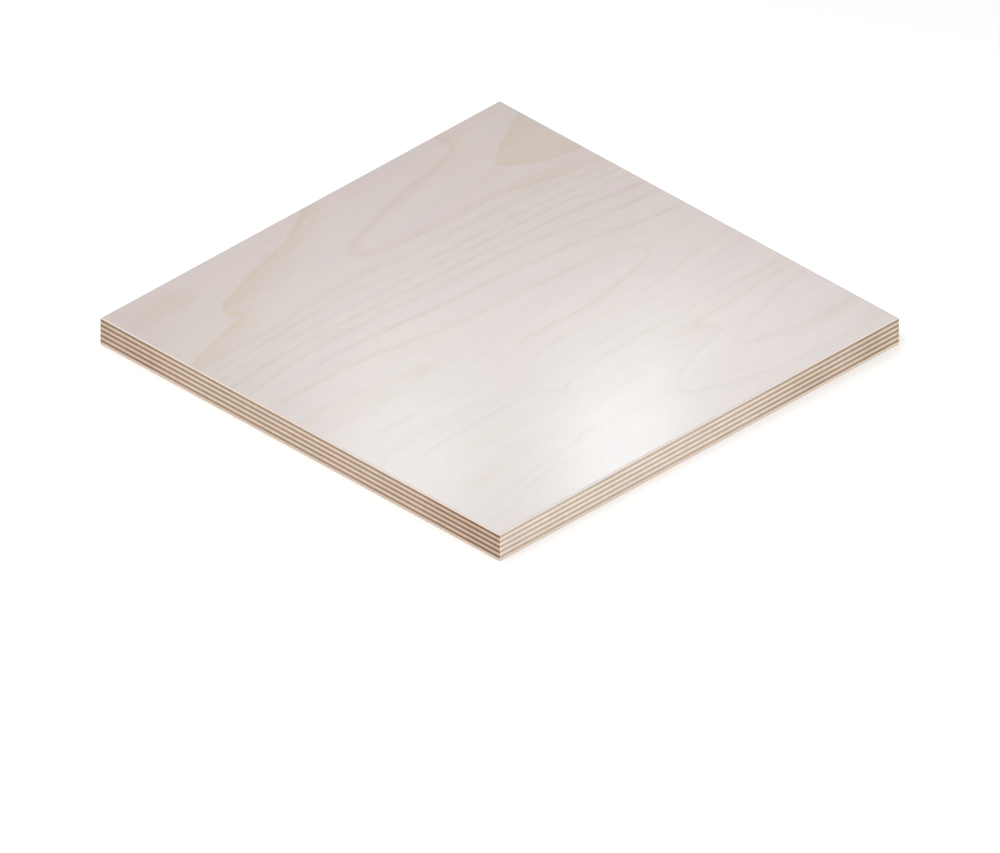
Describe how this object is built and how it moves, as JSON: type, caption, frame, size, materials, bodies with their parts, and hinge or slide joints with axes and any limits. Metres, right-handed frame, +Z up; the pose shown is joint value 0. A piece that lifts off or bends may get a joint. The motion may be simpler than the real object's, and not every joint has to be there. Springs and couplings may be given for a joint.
{
  "type": "plywood sheet",
  "caption": "Small square sheet of birch plywood with sawn edges that show its alternating light and dark plies.",
  "frame": {"origin": "centre of the underside, in the plane the sheet lies on", "axes": "+Z up through the thickness to the face veneer, +X along the grain of the face, +Y across it"},
  "size_m": [0.27, 0.27, 0.015],
  "materials": {
    "face_birch": "satin",
    "light_birch": "matte",
    "dark_birch": "matte",
    "back_birch": "matte"
  },
  "bodies": {
    "root": {"back_veneer": "back_birch", "cross_ply_1": "dark_birch", "long_ply_1": "light_birch", "cross_ply_2": "dark_birch", "long_ply_2": "light_birch", "cross_ply_3": "dark_birch", "long_ply_3": "light_birch", "cross_ply_4": "dark_birch", "long_ply_4": "light_birch", "cross_ply_5": "dark_birch", "face_veneer": "face_birch"}
  },
  "joints": []
}
